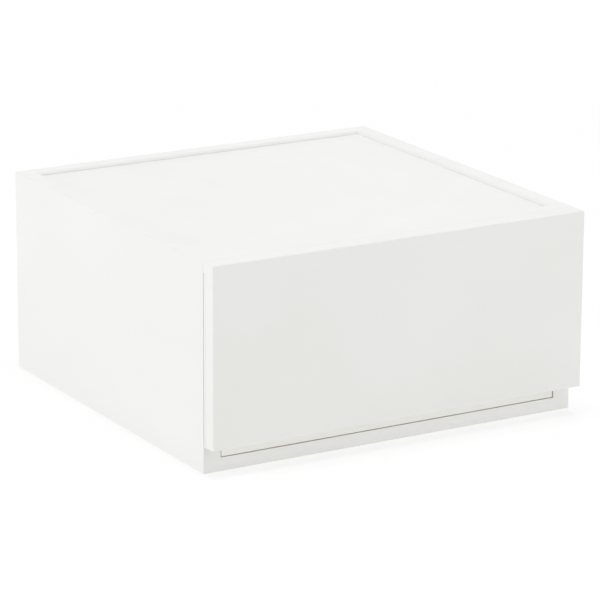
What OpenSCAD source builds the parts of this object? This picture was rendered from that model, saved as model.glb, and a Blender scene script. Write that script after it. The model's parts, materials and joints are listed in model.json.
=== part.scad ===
// Stackable drawer box: a double-walled moulded case, half as high as it is
// wide, with one full-width drawer behind a thick overlay front.
// Frame: +Z up, the drawer opens towards -Y, origin at the centre of the
// footprint on the plane that the feet stand on. Millimetres.

/* [Case] */
// Outside width of the case and of the drawer front
unit_w = 340; // [300:1:400]
// Outside depth, from the back of the case to the face of the drawer front
unit_d = 340; // [330:1:400]
// Height of the case from rim to rim, which is also the stacking pitch
case_h = 170; // [150:1:240]
// Width of the front frame's uprights, and of the raised rim round the top
stile_w = 15.3; // [15:0.1:18]
// Height of the front frame's top and bottom rails
rail_h = 11.3; // [11.3:0.1:14]
// Depth of the recess in the top, which locates the feet of the unit above
recess_d = 2.5; // [2:0.1:2.5]
// Wall thickness of the outer mouldings
wall = 2.6; // [2.2:0.1:2.6]

/* [Drawer front] */
// Thickness of the hollow drawer front
front_t = 14.7; // [13:0.1:16]
// Shadow gap between the drawer front and the case
front_gap = 1; // [0.8:0.1:1.5]
// Height of the finger space under the drawer front, above the case's lower rim
grip_h = 22.2; // [20:0.1:30]
// Rise of the drawer front's underside from back to front
grip_rise = 0.7; // [0:0.1:2]
// Radius of the drawer front's long edges
edge_r = 1; // [0.5:0.1:1.5]
// Height of the drawer front's top return, which meets the case when shut
rib_h = 9; // [6:0.5:11]
// Thickness of the plate that closes the back of the drawer front
backing_t = 2.3; // [2:0.1:2.6]

/* [Tray] */
// Wall thickness of the tray
tray_wall = 2.4; // [2:0.1:2.4]
// Clearance of the tray's front plate at each side of the opening
side_gap = 0.8; // [0.5:0.1:1]
// Clearance of the tray above the front frame's lower rail
floor_gap = 0.5; // [0.4:0.1:0.8]
// How far the drawer slides out before its lugs meet the stop clips
travel = 230; // [150:1:230]

/* [Feet] */
// Radius of a foot
foot_r = 9; // [7:0.5:10]
// How far the feet stand below the case's lower rim
foot_proud = 1; // [0.8:0.1:2]

/* [Hidden] */

WHITE = "#F3F3EF";
MILK = "#E4E6E2";
RUBBER = "#C9CBC8";
STEEL = "#B9BDC1";

e = 0.01;                     // overrun of a cut through a face
x0 = unit_w / 2;              // half width
yf = -unit_d / 2;             // face of the drawer front
yb = unit_d / 2;              // back of the case
yc = yf + front_t + front_gap;// front plane of the case
z0 = foot_proud;              // lower rim of the case
z1 = z0 + case_h;             // upper rim of the case
ox = x0 - stile_w;            // half width of the opening, the recess and the base
oz0 = z0 + rail_h;            // sill of the opening
oz1 = z1 - rail_h;            // head of the opening
ry0 = yc + stile_w;           // front of the recess
ry1 = yb - stile_w;           // back of the recess
lw = 2;                       // wall of the liner
lf = oz0 - 2.3;               // liner floor, below the sill
deck_t = 2.5;                 // thickness of the top deck
deck_z = z1 - recess_d;       // top of the deck
base_z = z0 + 1;              // underside of the base panel
base_t = 2.4;                 // thickness of the base panel
fz0 = z0 + grip_h;            // underside of the drawer front at its back
fyb = yf + front_t;           // back plane of the drawer front
ysb = fyb - backing_t - 0.1;  // rear edge of the face moulding, at the seam
yrt = yc - 0.15;              // rear face of the top return
ty0 = yc + 0.5;               // outer face of the tray's front plate
tz0 = oz0 + floor_gap;        // underside of the tray
ttop = z1 - 20;               // rim of the tray's sides and back
tyb = ry1 - lw - 5.3;         // outer face of the tray's back
tfw = ox - side_gap;          // half width of the tray's front plate
tb0 = tfw - 3.4;              // half width of the tray's body at its underside
tb1 = tfw - 2.7;              // half width of the tray's body at its rim
clip_y = yc + 24.3;           // rear face of the stop clips' tongues
lug_y = clip_y + travel + 0.2;// front face of the tray's lugs

base_sx = ox - 34.7;          // base screws
base_sy = [ry0 + 19, (ry0 + ry1) / 2, ry1 - 34.7];
back_sz = [z0 + 24, z0 + case_h / 2, z1 - 24];
back_sx = x0 - 7.8;
front_sx = [-0.65 * x0, 0, 0.65 * x0];
front_sz = [z0 + 52, z1 - 36];
foot_x = ox - foot_r - 0.6;
foot_y0 = ry0 + foot_r + 0.6;
foot_y1 = ry1 - foot_r - 0.6;
base_ribs = [for (i = [-2:2]) i * (base_sx - 12) / 2];

// a box from corner a to corner b
module box(a, b) translate(a) cube(b - a);

// a round bar along +Y from y a to y b
module ybar(x, z, a, b, r) translate([x, a, z]) rotate([-90, 0, 0]) cylinder(h = b - a, r = r, $fn = 48);

// a round bar along +Z from z a to z b
module zbar(x, y, a, b, r) translate([x, y, a]) cylinder(h = b - a, r = r, $fn = 48);

// a profile given as [y, z] points, swept along X from a to b
module along_x(a, b, pts) translate([a, 0, 0]) rotate([90, 0, 90]) linear_extrude(height = b - a) polygon(pts);

// a profile given as [x, z] points, swept along Y from a to b
module along_y(a, b, pts) translate([0, b, 0]) rotate([90, 0, 0]) linear_extrude(height = b - a) polygon(pts);

// the points of an arc
function arc(cx, cz, r, a0, a1, n) = [for (i = [0:n]) let (a = a0 + (a1 - a0) * i / n) [cx + r * cos(a), cz + r * sin(a)]];

// left and right copies of what is drawn on the +X side
module both() { children(); mirror([1, 0, 0]) children(); }

// a pan-head self-tapping screw along +Z: domed head with a tapered cross
// recess below z 0, plain shank above
module screw(head_r, head_h, shank_r, len) {
    s = head_r * 0.56;
    difference() {
        rotate_extrude($fn = 48) polygon(concat(
            [[0, len], [0, -head_h]],
            [for (i = [0:6]) let (a = 15 * i) [head_r * (0.4 + 0.6 * sin(a)), -head_h * (0.32 + 0.68 * cos(a))]],
            [[head_r, -0.15], [head_r - 0.15, 0], [shank_r, 0], [shank_r, len - 2], [shank_r * 0.35, len]]));
        for (a = [0, 90]) rotate([90, 0, a]) translate([0, 0, -0.4]) linear_extrude(height = 0.8)
            polygon([[-s, -head_h - e], [s, -head_h - e], [s * 0.8, -head_h * 0.7], [s * 0.3, -head_h * 0.3], [-s * 0.3, -head_h * 0.3], [-s * 0.8, -head_h * 0.7]]);
    }
}

// ---- case ----

// the side walls of a recess, which run from the rim to the liner and hold it
module recess_ring(za, zb) difference() {
    box([-ox - lw, ry0 - lw, za], [ox + lw, ry1 + lw, zb]);
    box([-ox, ry0, za - e], [ox, ry1, zb + e]);
}

// outer moulding: front frame, side walls, top and bottom rims, open at the back
module case_shell() color(WHITE) {
    difference() {
        union() {
            difference() {
                box([-x0, yc, z0], [x0, yb, z1]);
                box([-x0 + wall, yc + wall, z0 + wall], [x0 - wall, yb + 1, z1 - wall]);
                box([-ox, ry0, z0 - 1], [ox, ry1, z1 + 1]);
            }
            recess_ring(oz1 + lw, z1);
            recess_ring(z0, lf - lw);
            // bosses in the side cavities that take the back panel's screws
            both() for (z = back_sz) {
                ybar(back_sx, z, yb - 24, yb - 3.8, 4);
                box([back_sx, yb - 24, z - 1], [x0 - wall + 0.5, yb - 3.8, z + 1]);
            }
        }
        box([-ox, yc - 1, oz0], [ox, yc + wall + e, oz1]);
        both() for (z = back_sz) ybar(back_sx, z, yb - 20, yb - 3, 1.6);
    }
}

// flat deck in the top recess, with ribs below that stand on the liner
module top_deck() color(WHITE) {
    box([-ox + 0.15, ry0 + 0.15, deck_z - deck_t], [ox - 0.15, ry1 - 0.15, deck_z]);
    for (i = [-3:3]) box([i * ox / 3.2 - 0.8, ry0 + 4, oz1 + lw], [i * ox / 3.2 + 0.8, ry1 - 4, deck_z - deck_t + 0.5]);
    for (i = [0:4]) let (y = ry0 + 6 + i * (ry1 - ry0 - 12) / 4)
        box([-ox + 5, y - 0.8, oz1 + lw], [ox - 5, y + 0.8, deck_z - deck_t + 0.5]);
}

// inner moulding that the drawer runs in, open at the front
module case_liner() color(WHITE) {
    difference() {
        union() {
            box([-ox - lw, yc + wall, lf - lw], [ox + lw, ry1, oz1 + lw]);
            both() for (y = base_sy) zbar(base_sx, y, base_z + base_t + 1, lf - lw + 0.5, 4);
        }
        box([-ox, yc + wall - 1, lf], [ox, ry1 - lw, oz1]);
        // pilot holes for the base screws
        both() for (y = base_sy) zbar(base_sx, y, base_z + base_t + 1 - e, lf - 0.4, 1.6);
        // holes for the runners' pegs and the stop clips' pegs
        both() {
            for (y = base_sy) zbar(ox - 6, y, lf - lw - e, lf + e, 2);
            for (y = [clip_y - 13, clip_y - 5]) zbar(ox - 5.2, y, oz1 - e, oz1 + lw + e, 1.5);
        }
    }
}

// underside panel with countersunk screws and sockets for the feet
module base_panel() color(WHITE) {
    difference() {
        union() {
            box([-ox + 0.15, ry0 + 0.15, base_z], [ox - 0.15, ry1 - 0.15, base_z + base_t]);
            both() for (y = base_sy) zbar(base_sx, y, base_z, base_z + base_t + 1, 6);
            // stiffening ribs below, level with the lower rim
            for (x = base_ribs) box([x - 0.8, foot_y0 + 24, z0], [x + 0.8, foot_y1 - 24, base_z + 0.5]);
            for (y = [foot_y0 + 24, foot_y1 - 24]) box([-base_ribs[4] - 0.8, y - 0.8, z0], [base_ribs[4] + 0.8, y + 0.8, base_z + 0.5]);
            // collars round the screws
            both() for (y = base_sy) zbar(base_sx, y, z0, base_z + 0.5, 6);
        }
        both() {
            for (y = base_sy) {
                zbar(base_sx, y, z0 - 1, base_z + 1.9, 4.2);
                zbar(base_sx, y, base_z, base_z + base_t + 2, 1.8);
            }
            for (y = [foot_y0, foot_y1]) zbar(foot_x, y, base_z - e, base_z + base_t + e, 3);
        }
    }
}

// closing panel let into the back, flush with the shell's rear edges
module back_panel() color(WHITE) {
    difference() {
        union() {
            box([-x0 + wall + 0.1, yb - wall, z0 + wall + 0.1], [x0 - wall - 0.1, yb, z1 - wall - 0.1]);
            both() for (z = back_sz) ybar(back_sx, z, yb - 3.8, yb, 5);
        }
        both() for (z = back_sz) {
            ybar(back_sx, z, yb - 2.2, yb + 1, 4);
            ybar(back_sx, z, yb - 5, yb, 1.8);
        }
    }
}

// L-shaped low-friction strip that carries and guides one side of the tray
module runner(s) color(MILK) mirror([s < 0 ? 1 : 0, 0, 0]) {
    along_y(yc + 5.3, ry1 - lw - 2, [
        [ox - 12.7, lf], [ox - 0.1, lf], [ox - 0.1, lf + 15],
        [ox - 1.2, lf + 15], [ox - 2.8, lf + 12.5], [ox - 2.8, tz0 - 0.1], [ox - 12.2, tz0 - 0.1], [ox - 12.7, tz0 - 0.6]]);
    for (y = base_sy) zbar(ox - 6, y, lf - lw, lf + 0.5, 2);
}

// sprung catch under the liner's ceiling: ramp in front, stop face behind
module stop_clip(s) color(MILK) mirror([s < 0 ? 1 : 0, 0, 0]) {
    along_x(ox - 10.2, ox - 0.2, [
        [clip_y - 18, oz1], [clip_y - 18, oz1 - 1.6], [clip_y - 14, oz1 - 1.6],
        [clip_y - 3, ttop + 1.5], [clip_y, ttop + 1.5], [clip_y, oz1]]);
    for (y = [clip_y - 13, clip_y - 5]) zbar(ox - 5.2, y, oz1 - 0.5, oz1 + lw, 1.5);
}

// soft foot with two grip grooves and a barbed stem pushed into the base panel
module foot(x, y) color(RUBBER) translate([x, y, 0])
    rotate_extrude($fn = 64) polygon([
        [0, 0], [foot_r - 5, 0], [foot_r - 4.8, 0.4], [foot_r - 4, 0.4], [foot_r - 3.8, 0],
        [foot_r - 2.8, 0], [foot_r - 2.6, 0.4], [foot_r - 1.9, 0.4], [foot_r - 1.7, 0], [foot_r - 0.8, 0], [foot_r - 0.25, 0.25], [foot_r, 0.8], [foot_r, base_z], [3, base_z],
        [3, base_z + base_t], [3.5, base_z + base_t], [3.5, base_z + base_t + 0.6], [2.4, base_z + base_t + 2], [0, base_z + base_t + 2]]);

module foot_front_left() foot(-foot_x, foot_y0);
module foot_front_right() foot(foot_x, foot_y0);
module foot_rear_left() foot(-foot_x, foot_y1);
module foot_rear_right() foot(foot_x, foot_y1);
module runner_left() runner(-1);
module runner_right() runner(1);
module stop_clip_left() stop_clip(-1);
module stop_clip_right() stop_clip(1);

module base_screws() color(STEEL) both() for (y = base_sy)
    translate([base_sx, y, base_z + 1.9]) screw(3.6, 1.8, 1.6, 5.4);

module back_screws() color(STEEL) both() for (z = back_sz)
    translate([back_sx, yb - 2.2, z]) rotate([90, 0, 0]) screw(3.5, 1.9, 1.6, 14);

// ---- drawer ----

// half profile [x, z] of the tray's body: outside or inside, with round lower corners
function tray_side(hb, ht, za, r) = concat(arc(-hb + r, za + r, r, 180, 270, 6), arc(hb - r, za + r, r, 270, 360, 6), [[ht, ttop], [-ht, ttop]]);
function tray_in(hb, ht, za, r) = concat(arc(-hb + r, za + r, r, 180, 270, 6), arc(hb - r, za + r, r, 270, 360, 6), [[ht, ttop + 20], [-ht, ttop + 20]]);

// drawer tray: front plate that fills the opening, body, folded rim and stop lugs
module tray() color(WHITE) {
    difference() {
        union() {
            // front plate
            box([-tfw, ty0, tz0], [tfw, ty0 + 2.5, oz1 - side_gap]);
            // body
            along_y(ty0 + 1, tyb, tray_side(tb0, tb1, tz0, 3.5));
            // rim, turned outwards along the sides
            both() box([tb1 - 2, ty0 + 1, ttop - 2.4], [tb1 + 2.2, tyb, ttop]);
            // stop lugs with a ramp behind
            both() along_x(tb1 - tray_wall, tb1 + 2.2, [
                [lug_y, ttop - 1], [lug_y, ttop + 6.5], [lug_y + 3, ttop + 6.5], [lug_y + 12, ttop], [lug_y + 12, ttop - 1]]);
        }
        // inside, rounded where floor and sides meet
        difference() {
            along_y(ty0 + 2.5, tyb - tray_wall, tray_in(tb0 - tray_wall, tb1 - tray_wall, tz0 + 2.6, 2));
            // small fillets at the foot of the front plate and back wall
            along_x(-x0, x0, concat([[ty0 + 2.4, tz0]], arc(ty0 + 4.5, tz0 + 4.6, 2, 270, 180, 6), [[ty0 + 2.4, tz0 + 4.6]]));
            along_x(-x0, x0, concat([[tyb - tray_wall + 0.1, tz0]], arc(tyb - tray_wall - 2, tz0 + 4.6, 2, 270, 360, 6), [[tyb - tray_wall + 0.1, tz0 + 4.6]]));
        }
        for (x = front_sx) for (z = front_sz) ybar(x, z, ty0 - 1, ty0 + 4, 1.8);
    }
}

// face moulding of the drawer front: open at the back, with a return along its
// top that reaches back over the shadow gap and stops the drawer on the case
module front_shell() color(WHITE) {
    r = edge_r;
    zf = fz0 + grip_rise;
    difference() {
        along_x(-x0, x0, concat(
            [[ysb, fz0]],
            arc(yf + r, zf + r, r, 270, 180, 5),
            arc(yf + r, z1 - r, r, 180, 90, 5),
            [[yrt, z1], [yrt, z1 - rib_h], [ysb, z1 - rib_h]]));
        along_x(-x0 + wall, x0 - wall, [
            [yf + wall, zf + wall], [yf + wall, z1 - wall], [yrt - wall, z1 - wall], [yrt - wall, z1 - rib_h],
            [ysb + 1, z1 - rib_h], [ysb + 1, zf + wall]]);
    }
    // bosses for the screws
    for (x = front_sx) for (z = front_sz) difference() {
        ybar(x, z, yf + wall - 0.5, ysb, 4);
        ybar(x, z, yf + wall + 1.2, fyb, 1.6);
    }
}

// plate that closes the drawer front and seats it on the tray; its edges are
// flush with the face moulding and show as a fine seam down each side
module front_backing() color(WHITE) {
    difference() {
        union() {
            box([-x0, fyb - backing_t, fz0], [x0, fyb, z1 - rib_h - 0.1]);
            // bosses that reach into the opening and seat on the tray's front plate
            for (x = front_sx) for (z = front_sz) ybar(x, z, fyb - 1, ty0, 7);
            // ribs that stiffen the plate's inner face
            for (z = [fz0 + 14, z1 - rib_h - 12]) box([-x0 + 12, ysb - 2.5, z], [x0 - 12, fyb - 1, z + 1.6]);
            // lugs that locate it inside the face moulding
            both() for (z = [fz0 + 10, z1 - 30]) box([x0 - wall - 2.15, ysb - 3, z], [x0 - wall - 0.15, fyb - 1, z + 12]);
        }
        for (x = front_sx) for (z = front_sz) ybar(x, z, ysb - 1, ty0 + 1, 1.8);
    }
}

module front_screws() color(STEEL) for (x = front_sx) for (z = front_sz)
    translate([x, ty0 + 2.5, z]) rotate([90, 0, 0]) screw(3.8, 2.2, 1.6, 13);

// cap snapped over the tray's rim at a rear corner, which keeps the open drawer level
module rear_guide(s) color(MILK) mirror([s < 0 ? 1 : 0, 0, 0]) {
    along_y(tyb - 18, tyb - 0.2, [
        [tb1 - tray_wall - 1, ttop], [tb1 + 2.2, ttop], [tb1 + 2.2, ttop - 2.4], [tb1 + 0.4, ttop - 2.4], [tb1 + 0.4, ttop - 3.4],
        [tb1 + 3, ttop - 3.4], [tb1 + 3, oz1 - 1.3], [tb1 + 2.2, oz1 - 0.5], [tb1 - tray_wall, oz1 - 0.5], [tb1 - tray_wall - 1, oz1 - 1.5]]);
}
module rear_guide_left() rear_guide(-1);
module rear_guide_right() rear_guide(1);

case_shell();
top_deck();
case_liner();
base_panel();
back_panel();
runner_left();
runner_right();
stop_clip_left();
stop_clip_right();
foot_front_left();
foot_front_right();
foot_rear_left();
foot_rear_right();
base_screws();
back_screws();
tray();
front_shell();
front_backing();
front_screws();
rear_guide_left();
rear_guide_right();
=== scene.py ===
import json
import math

import bmesh
import bpy
from mathutils import Matrix, Vector


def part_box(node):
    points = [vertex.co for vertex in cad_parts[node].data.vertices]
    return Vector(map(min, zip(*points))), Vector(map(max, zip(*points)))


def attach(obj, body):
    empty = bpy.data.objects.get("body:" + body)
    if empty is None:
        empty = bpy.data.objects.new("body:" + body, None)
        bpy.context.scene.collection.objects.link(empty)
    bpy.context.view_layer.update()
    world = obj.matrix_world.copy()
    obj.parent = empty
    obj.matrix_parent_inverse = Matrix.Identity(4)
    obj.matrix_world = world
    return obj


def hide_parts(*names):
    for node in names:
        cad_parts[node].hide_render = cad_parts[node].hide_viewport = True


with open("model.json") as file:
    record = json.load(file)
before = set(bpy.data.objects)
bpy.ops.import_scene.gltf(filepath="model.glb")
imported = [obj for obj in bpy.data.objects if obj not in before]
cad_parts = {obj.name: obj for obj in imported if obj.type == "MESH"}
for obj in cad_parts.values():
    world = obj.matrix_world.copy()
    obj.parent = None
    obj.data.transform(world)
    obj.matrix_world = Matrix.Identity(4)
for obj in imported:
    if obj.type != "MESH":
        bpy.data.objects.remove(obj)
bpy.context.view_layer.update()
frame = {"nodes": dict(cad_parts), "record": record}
NODES = frame["nodes"]
MM = 0.001

scene = bpy.context.scene
scene.view_settings.view_transform = "Standard"
scene.view_settings.look = "None"
scene.view_settings.exposure = 0.0
# gentle shoulder for the whites, as a camera gives them
scene.view_settings.use_curve_mapping = True
shoulder = scene.view_settings.curve_mapping
shoulder.white_level = (1.5, 1.5, 1.5)
tone = shoulder.curves[3]
for x, y in ((0.35, 0.35), (0.60, 0.60), (0.70, 0.695), (0.80, 0.773), (0.90, 0.835), (1.0, 0.88), (1.08, 0.915), (1.16, 0.955), (1.25, 0.997)):
    tone.points.new(x / 1.5, y)
for point in tone.points:
    point.handle_type = "VECTOR"
shoulder.update()
scene.view_settings.gamma = 1.0


def mm_box(node):
    lo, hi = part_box(node)
    return tuple(c / MM for c in lo), tuple(c / MM for c in hi)


# planes of the box, in millimetres, read from the CAD nodes
SHELL_LO, SHELL_HI = mm_box("case_shell")
FRONT_LO, FRONT_HI = mm_box("front_shell")
BACKING_LO, BACKING_HI = mm_box("front_backing")
DECK_LO, DECK_HI = mm_box("top_deck")
LINER_LO, LINER_HI = mm_box("case_liner")
BASE_LO, BASE_HI = mm_box("base_panel")
TRAY_LO, TRAY_HI = mm_box("tray")
X0, YC, YB, Z0, Z1 = SHELL_HI[0], SHELL_LO[1], SHELL_HI[1], SHELL_LO[2], SHELL_HI[2]
OX, RY0, RY1 = DECK_HI[0] + 0.15, DECK_LO[1] - 0.15, DECK_HI[1] + 0.15
OZ0, OZ1 = LINER_LO[2] + 4.3, LINER_HI[2] - 2.0
YF = FRONT_LO[1]
WALL = 2.6
BASE_SY = (RY0 + 19.0, (RY0 + RY1) / 2, RY1 - 34.7)
BACK_SZ = (Z0 + 24.0, (Z0 + Z1) / 2, Z1 - 24.0)
FRONT_SZ = (Z0 + 52.0, Z1 - 36.0)
FOOT_Y = (RY0 + 9.6, RY1 - 9.6)
CLIP_Y = YC + 24.3
TRAY_RIM = Z1 - 20.0
LUG_Y = CLIP_Y + 230.2


# ---------------------------------------------------------------- materials

class Graph:
    """Small helper that builds a node tree."""

    def __init__(self, name):
        self.mat = bpy.data.materials.new(name)
        self.mat.use_nodes = True
        self.nt = self.mat.node_tree
        self.nt.nodes.clear()
        self.out = self.nt.nodes.new("ShaderNodeOutputMaterial")
        self.bsdf = self.nt.nodes.new("ShaderNodeBsdfPrincipled")
        self.nt.links.new(self.bsdf.outputs["BSDF"], self.out.inputs["Surface"])
        self.coord = self.nt.nodes.new("ShaderNodeTexCoord").outputs["Object"]
        self._xyz = None
        self._nrm = None

    def put(self, kind, inputs=None, **props):
        n = self.nt.nodes.new(kind)
        for k, v in props.items():
            setattr(n, k, v)
        for k, v in (inputs or {}).items():
            self.feed(n.inputs[k], v)
        return n

    def feed(self, socket, v):
        if isinstance(v, bpy.types.NodeSocket):
            self.nt.links.new(v, socket)
        else:
            socket.default_value = v

    def noise(self, scale, detail=2.0, rough=0.5, stretch=None, seed=0.0):
        vec = self.coord
        if stretch or seed:
            vec = self.put("ShaderNodeMapping", {"Vector": vec, "Scale": stretch or (1, 1, 1), "Location": (seed, seed * 0.7, seed * 1.3)}).outputs["Vector"]
        return self.put("ShaderNodeTexNoise", {"Vector": vec, "Scale": scale, "Detail": detail, "Roughness": rough}).outputs["Fac"]

    def span(self, fac, lo, hi, src=(0.3, 0.7)):
        return self.put("ShaderNodeMapRange", {"Value": fac, "From Min": src[0], "From Max": src[1], "To Min": lo, "To Max": hi}).outputs["Result"]

    def math(self, op, a, b=0.0, c=0.0, clamp=False):
        n = self.nt.nodes.new("ShaderNodeMath")
        n.operation = op
        n.use_clamp = clamp
        self.feed(n.inputs[0], a)
        self.feed(n.inputs[1], b)
        self.feed(n.inputs[2], c)
        return n.outputs[0]

    def mix(self, fac, a, b):
        n = self.put("ShaderNodeMix", data_type="RGBA")
        self.feed(n.inputs["Factor"], fac)
        self.feed(n.inputs[6], a)
        self.feed(n.inputs[7], b)
        return n.outputs[2]

    def bump(self, height, distance, strength=1.0, normal=None):
        ins = {"Height": height, "Distance": distance, "Strength": strength}
        if normal is not None:
            ins["Normal"] = normal
        return self.put("ShaderNodeBump", ins).outputs["Normal"]

    def xyz(self):
        if self._xyz is None:
            self._xyz = self.put("ShaderNodeSeparateXYZ", {"Vector": self.coord}).outputs
        return self._xyz

    def near_edge(self, lo, hi, reach):
        """1 on the edges of the box from lo to hi (millimetres), falling to 0 over reach."""
        d = []
        for axis in range(3):
            c = self.xyz()[axis]
            a = self.math("SUBTRACT", c, lo[axis] * MM)
            b = self.math("SUBTRACT", hi[axis] * MM, c)
            d.append(self.math("MAXIMUM", self.math("MINIMUM", a, b), 0.0))
        low, high = self.math("MINIMUM", d[0], d[1]), self.math("MAXIMUM", d[0], d[1])
        middle = self.math("MAXIMUM", low, self.math("MINIMUM", high, d[2]))
        return self.span(middle, 1.0, 0.0, (0.0, reach * MM))

    def inside(self, lo, hi, reach):
        """1 inside the box from lo to hi (millimetres), falling to 0 over reach at its sides."""
        least = None
        for axis in range(3):
            c = self.xyz()[axis]
            d = self.math("MINIMUM", self.math("SUBTRACT", c, lo[axis] * MM), self.math("SUBTRACT", hi[axis] * MM, c))
            least = d if least is None else self.math("MINIMUM", least, d)
        return self.span(least, 0.0, 1.0, (0.0, reach * MM))

    def facing_z(self):
        """1 on level faces, 0 on upright ones."""
        if self._nrm is None:
            n = self.put("ShaderNodeNewGeometry").outputs["True Normal"]
            self._nrm = self.put("ShaderNodeSeparateXYZ", {"Vector": n}).outputs[2]
        return self.math("GREATER_THAN", self.math("ABSOLUTE", self._nrm), 0.9)

    def pin_marks(self, pitch, radius):
        """Fine rings that a mould's ejector pins leave, on a square grid, on level faces."""
        half = pitch * MM / 2
        u, v = (self.math("SUBTRACT", self.math("PINGPONG", self.xyz()[i], half), half / 2) for i in (0, 1))
        r = self.math("SQRT", self.math("ADD", self.math("MULTIPLY", u, u), self.math("MULTIPLY", v, v)))
        ring = self.math("ABSOLUTE", self.math("SUBTRACT", r, radius * MM))
        return self.math("MULTIPLY", self.span(ring, 1.0, 0.0, (0.0, 0.35 * MM)), self.facing_z())


def plastic(name, color, rough, grain=0.00003, grain_size=0.0005, sink=0.00006, seed=0.0, spec=0.5, box=None, rub=None, pins=None, gap_shade_and_dust=None):
    """Moulded plastic: spark-eroded grain, faint flow mottling, slow sink waves, handled edges."""
    g = Graph(name)
    flow = g.noise(9.0, 3.0, 0.55, stretch=(1.0, 0.6, 1.4), seed=seed + 1.7)
    speck = g.noise(900.0, 2.0, 0.6, seed=seed + 4.1)
    dark = tuple(c * 0.968 for c in color[:2]) + (color[2] * 0.96, 1.0)
    light = tuple(min(1.0, c * 1.012) for c in color) + (1.0,)
    tone = g.mix(g.span(flow, 0.0, 1.0), dark, light)
    tone = g.mix(g.span(speck, 0.0, 0.05, (0.35, 0.75)), tone, (color[0] * 0.93, color[1] * 0.93, color[2] * 0.91, 1.0))
    smudge = g.noise(28.0, 4.0, 0.6, seed=seed + 9.3)
    fine = g.noise(1.0 / grain_size, 3.0, 0.65, seed=seed)
    r = g.math("ADD", g.span(smudge, rough - 0.055, rough + 0.055), g.span(fine, -0.04, 0.04))
    height = fine
    if box is not None:
        # edges that hands and the next box touch: polished here and there, with short scuffs
        edge = g.near_edge(box[0], box[1], 2.4)
        patch = g.span(g.noise(46.0, 3.0, 0.6, seed=seed + 6.6), 0.0, 1.0, (0.45, 0.62))
        worn = g.math("MULTIPLY", edge, patch)
        tone = g.mix(g.math("MULTIPLY", worn, 0.55), tone, (color[0] * 0.94, color[1] * 0.935, color[2] * 0.915, 1.0))
        r = g.math("ADD", r, g.math("MULTIPLY", worn, -0.09))
    if gap_shade_and_dust is not None:
        # painted shade: a warm tan tone that darkens the narrow gap at the drawer mouth, where shade falls, drawn as
        # fine settled dust
        lies = g.math("MULTIPLY", g.inside(gap_shade_and_dust[0], gap_shade_and_dust[1], 0.3), g.span(g.noise(240.0, 3.0, 0.6, seed=seed + 5.1), 0.75, 1.0))
        tone = g.mix(g.math("MULTIPLY", lies, 0.85), tone, (0.74, 0.62, 0.47, 1.0))
        r = g.math("ADD", r, g.math("MULTIPLY", lies, 0.25))
    if rub is not None:
        # hairlines left by things that slide along the surface
        hair = g.noise(520.0, 2.0, 0.7, stretch=rub, seed=seed + 3.3)
        where = g.span(g.noise(12.0, 2.0, 0.5, seed=seed + 8.8), 0.0, 1.0, (0.42, 0.66))
        line = g.math("MULTIPLY", g.span(hair, 0.0, 1.0, (0.6, 0.72)), where)
        tone = g.mix(g.math("MULTIPLY", line, 0.3), tone, (color[0] * 0.88, color[1] * 0.875, color[2] * 0.86, 1.0))
        r = g.math("ADD", r, g.math("MULTIPLY", line, 0.12))
        height = g.math("SUBTRACT", height, g.math("MULTIPLY", line, 1.2))
    g.feed(g.bsdf.inputs["Base Color"], tone)
    g.feed(g.bsdf.inputs["Roughness"], r)
    wave = g.noise(14.0, 1.0, 0.4, seed=seed + 2.2)
    n = g.bump(wave, sink, 1.0)
    if pins is not None:
        n = g.bump(g.math("MULTIPLY", g.pin_marks(*pins), -1.0), 0.00025, 1.0, normal=n)
    n = g.bump(height, grain, 1.0, normal=n)
    g.feed(g.bsdf.inputs["Normal"], n)
    g.bsdf.inputs["IOR"].default_value = 1.5
    g.bsdf.inputs["Specular IOR Level"].default_value = spec
    return g.mat


def rubber(name, color):
    g = Graph(name)
    speck = g.noise(700.0, 3.0, 0.7)
    g.feed(g.bsdf.inputs["Base Color"], g.mix(g.span(speck, 0.0, 1.0), tuple(c * 0.9 for c in color) + (1.0,), tuple(color) + (1.0,)))
    g.feed(g.bsdf.inputs["Roughness"], g.span(g.noise(60.0, 3.0), 0.68, 0.82))
    g.feed(g.bsdf.inputs["Normal"], g.bump(speck, 0.00004))
    g.bsdf.inputs["IOR"].default_value = 1.5
    return g.mat


def zinc(name):
    g = Graph(name)
    patch = g.noise(420.0, 4.0, 0.6)
    g.feed(g.bsdf.inputs["Base Color"], g.mix(g.span(patch, 0.0, 1.0), (0.56, 0.57, 0.59, 1.0), (0.72, 0.73, 0.74, 1.0)))
    g.bsdf.inputs["Metallic"].default_value = 1.0
    g.feed(g.bsdf.inputs["Roughness"], g.span(g.noise(900.0, 2.0), 0.24, 0.40))
    g.feed(g.bsdf.inputs["Normal"], g.bump(g.noise(1500.0, 2.0), 0.00001))
    return g.mat


WHITE = (0.752, 0.752, 0.727)
MATS = {
    # the case carries painted shade in the gap round the drawer mouth, drawn as warm dust
    "case_white": plastic("case_white", WHITE, 0.40, seed=0.3, box=(SHELL_LO, SHELL_HI),
                          gap_shade_and_dust=((-OX - 0.4, YC + 0.15, OZ0 - 0.4), (OX + 0.4, YC + 3.2, FRONT_LO[2] + 2.0))),
    "front_white": plastic("front_white", WHITE, 0.40, seed=3.1, box=(FRONT_LO, FRONT_HI)),
    "tray_white": plastic("tray_white", (0.822, 0.822, 0.772), 0.34, grain=0.000015, seed=5.9, rub=(1.0, 0.02, 1.0), pins=(62.0, 4.5)),
    "liner_white": plastic("liner_white", (0.82, 0.81, 0.75), 0.36, grain=0.000015, seed=7.7, rub=(1.0, 0.02, 1.0)),
    "glide_plastic": plastic("glide_plastic", (0.74, 0.75, 0.72), 0.30, grain=0.000006, seed=2.4, rub=(1.0, 0.015, 1.0)),
    "foot_rubber": rubber("foot_rubber", (0.42, 0.43, 0.41)),
    "screw_steel": zinc("screw_steel"),
}


# ---------------------------------------------------------------- moulded parts

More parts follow.
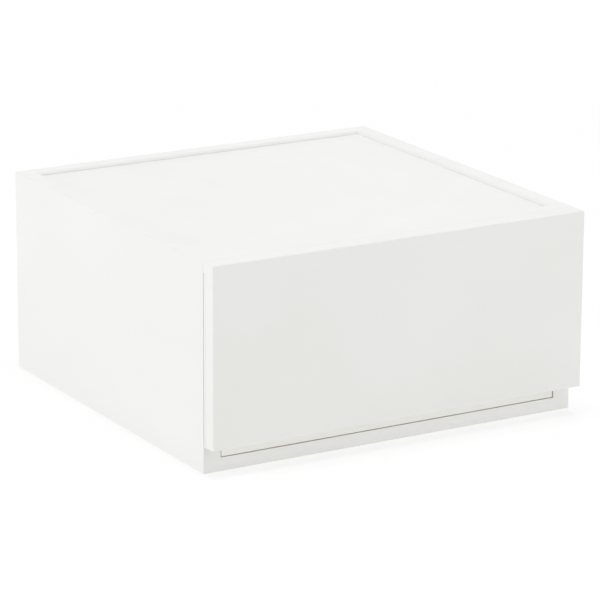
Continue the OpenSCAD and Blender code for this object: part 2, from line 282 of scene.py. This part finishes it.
def at(a, b, axis, *values, near=0.03):
    """Both ends of an edge lie on one of these planes."""
    return any(abs(a[axis] - v) < near and abs(b[axis] - v) < near for v in values)


def on_box(a, b, lo, hi):
    """How many sides of a box an edge lies in."""
    return sum(at(a, b, i, lo[i], hi[i]) for i in range(3))


def shell_edges(a, b, long):
    if on_box(a, b, SHELL_LO, SHELL_HI) >= 2:
        return 0.35 if at(a, b, 1, YC) and at(a, b, 0, -X0, X0) else 0.7
    if at(a, b, 1, YC) and (at(a, b, 0, -OX, OX) or at(a, b, 2, OZ0, OZ1)):
        return 0.3
    if at(a, b, 2, Z0) and (at(a, b, 0, -OX, OX) or at(a, b, 1, RY0, RY1)):
        return 1.0
    if at(a, b, 1, YB) and (at(a, b, 0, WALL - X0, X0 - WALL) or at(a, b, 2, Z0 + WALL, Z1 - WALL)):
        return 0.25
    return 0.0


def recess_edges(a, b, long):
    return 2.2 if at(a, b, 2, Z1) and (at(a, b, 0, -OX, OX) or at(a, b, 1, RY0, RY1)) else 0.0


def deck_edges(a, b, long):
    return 0.06 if on_box(a, b, DECK_LO, DECK_HI) >= 2 else 0.0


def base_edges(a, b, long):
    if at(a, b, 2, Z0):
        return 0.3 if long else 0.2
    if at(a, b, 2, Z0 + 1.0) and (at(a, b, 0, BASE_LO[0], BASE_HI[0]) or at(a, b, 1, BASE_LO[1], BASE_HI[1])):
        return 0.3
    return 0.0


def back_edges(a, b, long):
    if at(a, b, 1, YB):
        return 0.3 if long else 0.2
    return 0.0


def tray_edges(a, b, long):
    if not long:
        return 0.0
    if at(a, b, 2, TRAY_RIM):
        by_lug = abs(a[0]) < TRAY_HI[0] - 4.0 and min(a[1], b[1]) > LUG_Y - 3.0 and max(a[1], b[1]) < LUG_Y + 15.0
        return 0.0 if by_lug else 0.4
    if at(a, b, 2, TRAY_HI[2]) or min(a[2], b[2]) > TRAY_RIM - 0.1:
        return 0.3
    return 0.2 if at(a, b, 1, TRAY_LO[1]) and on_box(a, b, TRAY_LO, TRAY_HI) >= 2 else 0.0


def front_edges(a, b, long):
    rear = FRONT_HI[1]
    seam = BACKING_LO[1] - 0.1
    if at(a, b, 1, seam, rear):
        return 0.3 if at(a, b, 0, -X0, X0) or at(a, b, 2, FRONT_LO[2], FRONT_HI[2]) else 0.0
    return 0.6 if at(a, b, 0, -X0, X0) else 0.0


def backing_edges(a, b, long):
    lo, hi = BACKING_LO, (BACKING_HI[0], BACKING_LO[1] + 2.3 + 0.0, BACKING_HI[2])
    return 0.25 if on_box(a, b, (lo[0], YF + 12.4, lo[2]), (hi[0], YF + 14.7, hi[2])) >= 2 else 0.0


def small_edges(a, b, long):
    return 0.3 if long else 0.0


def skin(name, ending, edges=None, cuts=(), segments=3, eased=None):
    """The CAD solid with its triangles merged into clean faces, its edges rounded and its round faces smooth.
    Edges that eased names get a flatter profile, like a drafted lead-in."""
    me = NODES[name].data.copy()
    bm = bmesh.new()
    bm.from_mesh(me)
    bmesh.ops.remove_doubles(bm, verts=bm.verts[:], dist=0.000002)
    if edges is not None:
        # cut faces that have holes across those holes, so each becomes a simple outline
        for axis, value in cuts:
            co, no = [0.0] * 3, [0.0] * 3
            co[axis], no[axis] = value * MM, 1.0
            made = bmesh.ops.bisect_plane(bm, geom=bm.verts[:] + bm.edges[:] + bm.faces[:], dist=0.0000001, plane_co=co, plane_no=no)
            for e in made["geom_cut"]:
                if isinstance(e, bmesh.types.BMEdge):
                    e.seam = True
        bmesh.ops.dissolve_limit(bm, angle_limit=math.radians(0.4), use_dissolve_boundaries=False, verts=bm.verts[:], edges=bm.edges[:], delimit={"SEAM"})
    weight = bm.edges.layers.float.get("bevel_weight_edge") or bm.edges.layers.float.new("bevel_weight_edge")
    ease = bm.edges.layers.float.new("ease_weight")
    widest = 0.0
    chosen, leaned = {}, {}
    for e in bm.edges:
        e.seam = False
        e.smooth = True
        if len(e.link_faces) != 2:
            continue
        turn = e.calc_face_angle(0.0)
        w = 0.0
        if edges is not None and turn > math.radians(35) and e.is_convex:
            a, b = (tuple(c / MM for c in v.co) for v in e.verts)
            w = edges(a, b, e.calc_length() > 1.2 * MM)
            if eased is not None and eased(a, b, True):
                leaned[e] = eased(a, b, True)
                continue
        if w:
            chosen[e] = w
            widest = max(widest, w)
        elif turn > math.radians(33):
            e.smooth = False
    for e, w in chosen.items():
        e[weight] = w / widest
    for e in leaned:
        e[ease] = 1.0
    for f in bm.faces:
        f.smooth = True
    bm.to_mesh(me)
    bm.free()
    o = bpy.data.objects.new(f"{name}_{ending}", me)
    scene.collection.objects.link(o)
    if chosen:
        bev = o.modifiers.new("edges", "BEVEL")
        bev.width = widest * MM
        bev.segments = segments
        bev.limit_method = "WEIGHT"
        bev.use_clamp_overlap = False
        if leaned:
            lean = o.modifiers.new("lead_in", "BEVEL")
            lean.width = max(leaned.values()) * MM
            lean.segments = 4
            lean.profile = 0.34
            lean.limit_method = "WEIGHT"
            lean.edge_weight = "ease_weight"
            lean.use_clamp_overlap = False
        rounded = bpy.data.meshes.new_from_object(o.evaluated_get(bpy.context.evaluated_depsgraph_get()))
        o.modifiers.clear()
        o.data = rounded
        bpy.data.meshes.remove(me)
        me = rounded
        bm = bmesh.new()
        bm.from_mesh(me)
        for e in bm.edges:
            e.smooth = len(e.link_faces) == 2 and e.calc_face_angle(0.0) < math.radians(33)
        bm.to_mesh(me)
        bm.free()
    me.name = o.name
    nor = o.modifiers.new("normals", "WEIGHTED_NORMAL")
    nor.mode = "FACE_AREA"
    nor.keep_sharp = True
    me.materials.clear()
    me.materials.append(MATS[SLOT_OF[name]])
    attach(o, BODY_OF[name])
    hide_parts(name)
    return o


SLOT_OF = {s["node"]: s["material_slot"] for s in frame["record"]["subparts"]}
BODY_OF = {n: body for body, names in frame["record"]["behaviour"]["bodies"].items() for n in names}

skin("case_shell", "moulding", shell_edges, [(0, 0.0)] + [(2, z) for z in BACK_SZ], 4, recess_edges)
skin("top_deck", "moulding", deck_edges, [(1, RY0 + 6.0 + (i + 0.5) * (RY1 - RY0 - 12.0) / 4) for i in range(4)], 2)
skin("case_liner", "moulding", lambda a, b, long: 0.0, [(0, 0.0)] + [(1, y) for y in BASE_SY + (CLIP_Y - 13.0, CLIP_Y - 5.0)])
skin("base_panel", "moulding", base_edges, [(1, y) for y in BASE_SY + FOOT_Y])
skin("back_panel", "moulding", back_edges, [(2, z) for z in BACK_SZ])
skin("tray", "moulding", tray_edges, [(2, z) for z in FRONT_SZ] + [(1, LUG_Y - 2.0), (1, LUG_Y + 14.0)])
skin("front_shell", "moulding", front_edges, [(0, 0.0)] + [(2, z) for z in FRONT_SZ], 4)
skin("front_backing", "moulding", backing_edges, [(0, 0.0)] + [(2, z) for z in FRONT_SZ + (FRONT_LO[2] + 16.0, Z1 - 24.0)])
for side in ("left", "right"):
    skin("runner_" + side, "glide", small_edges, [(1, y) for y in BASE_SY])
    skin("stop_clip_" + side, "glide", small_edges, [(1, CLIP_Y - 13.0), (1, CLIP_Y - 5.0)])
    skin("rear_guide_" + side, "glide", small_edges)
    skin("foot_front_" + side, "rubber")
    skin("foot_rear_" + side, "rubber")
for name in ("base_screws", "back_screws", "front_screws"):
    skin(name, "plated")
for name, o in NODES.items():
    o.data.materials.clear()
    o.data.materials.append(MATS[SLOT_OF[name]])


# ---------------------------------------------------------------- studio

def stage_floor():
    me = bpy.data.meshes.new("floor")
    bm = bmesh.new()
    bmesh.ops.create_circle(bm, cap_ends=True, segments=96, radius=14.0)
    bm.to_mesh(me)
    bm.free()
    o = bpy.data.objects.new("floor", me)
    scene.collection.objects.link(o)
    o.location = (0.0, 0.0, 0.0)
    g = Graph("floor_paper")
    tone = g.noise(1.3, 3.0)
    g.feed(g.bsdf.inputs["Base Color"], g.mix(g.span(tone, 0.0, 1.0), (0.45, 0.45, 0.45, 1.0), (0.46, 0.46, 0.458, 1.0)))
    g.bsdf.inputs["Roughness"].default_value = 0.9
    g.bsdf.inputs["Specular IOR Level"].default_value = 0.2
    # a pale table lit softly from below as well, so the shadow round the box stays faint
    g.bsdf.inputs["Emission Color"].default_value = (1.0, 1.0, 1.0, 1.0)
    r = g.math("SQRT", g.math("ADD", g.math("MULTIPLY", g.xyz()[0], g.xyz()[0]), g.math("MULTIPLY", g.xyz()[1], g.xyz()[1])))
    g.feed(g.bsdf.inputs["Emission Strength"], g.span(r, 0.74, 1.3, (1.0, 3.0)))
    # from below the table is clear, so the underside of the box can be looked at
    clear = g.put("ShaderNodeBsdfTransparent")
    side = g.put("ShaderNodeNewGeometry").outputs["Backfacing"]
    both = g.put("ShaderNodeMixShader")
    g.nt.links.new(side, both.inputs[0])
    g.nt.links.new(g.bsdf.outputs["BSDF"], both.inputs[1])
    g.nt.links.new(clear.outputs["BSDF"], both.inputs[2])
    g.nt.links.new(both.outputs["Shader"], g.out.inputs["Surface"])
    o.data.materials.append(g.mat)


def soft(name, az, el, power, size=1.8, dist=3.2, color=(1, 1, 1)):
    """Soft box, aimed at the box from azimuth az (0 is the front, negative is the left) and elevation el."""
    aim = Vector((0.0, 0.0, 0.08))
    a, e = math.radians(az), math.radians(el)
    d = bpy.data.lights.new(name, "AREA")
    d.shape = "SQUARE"
    d.size = size
    d.energy = power
    d.color = color
    o = bpy.data.objects.new(name, d)
    scene.collection.objects.link(o)
    where = Vector((math.sin(a) * math.cos(e), -math.cos(a) * math.cos(e), math.sin(e))) * dist
    o.location = where
    o.rotation_mode = "QUATERNION"
    o.rotation_quaternion = (aim - where).to_track_quat("-Z", "Y")
    return o


stage_floor()
soft("left_side", -105, 20, 69.5)
soft("right_front", 30, 25, 34.6)
soft("front_high", 15, 50, 13.7)
soft("back_right", 150, 20, 16.4)
soft("overhead", 0, 90, 80.3)

world = bpy.data.worlds.new("studio")
scene.world = world
world.use_nodes = True
bg = world.node_tree.nodes.get("Background") or world.node_tree.nodes.new("ShaderNodeBackground")
bg.inputs["Color"].default_value = (1.0, 1.0, 0.998, 1.0)
# seen directly, the studio's far wall is white; as a light it is faint
seen = world.node_tree.nodes.new("ShaderNodeLightPath").outputs["Is Camera Ray"]
wall = world.node_tree.nodes.new("ShaderNodeMapRange")
wall.inputs["To Min"].default_value = 0.08
wall.inputs["To Max"].default_value = 1.3
world.node_tree.links.new(seen, wall.inputs["Value"])
world.node_tree.links.new(wall.outputs["Result"], bg.inputs["Strength"])


# ---------------------------------------------------------------- camera

cam_data = bpy.data.cameras.new("camera")
cam = bpy.data.objects.new("camera", cam_data)
scene.collection.objects.link(cam)
cam_data.sensor_width = 36.0
cam_data.sensor_fit = "HORIZONTAL"
cam_data.lens = 212.003
cam_data.clip_start, cam_data.clip_end = 0.05, 60.0
right = Vector((0.86294, -0.50528, 0.00474))
down = Vector((-0.13597, -0.24122, -0.96090))
ahead = Vector((0.48666, 0.82856, -0.27686))
rot = Matrix((right, -down, -ahead)).transposed()
cam.matrix_world = Matrix.Translation((-1.41181, -2.41390, 0.88290 + Z0 * MM)) @ rot.to_4x4()
scene.camera = cam
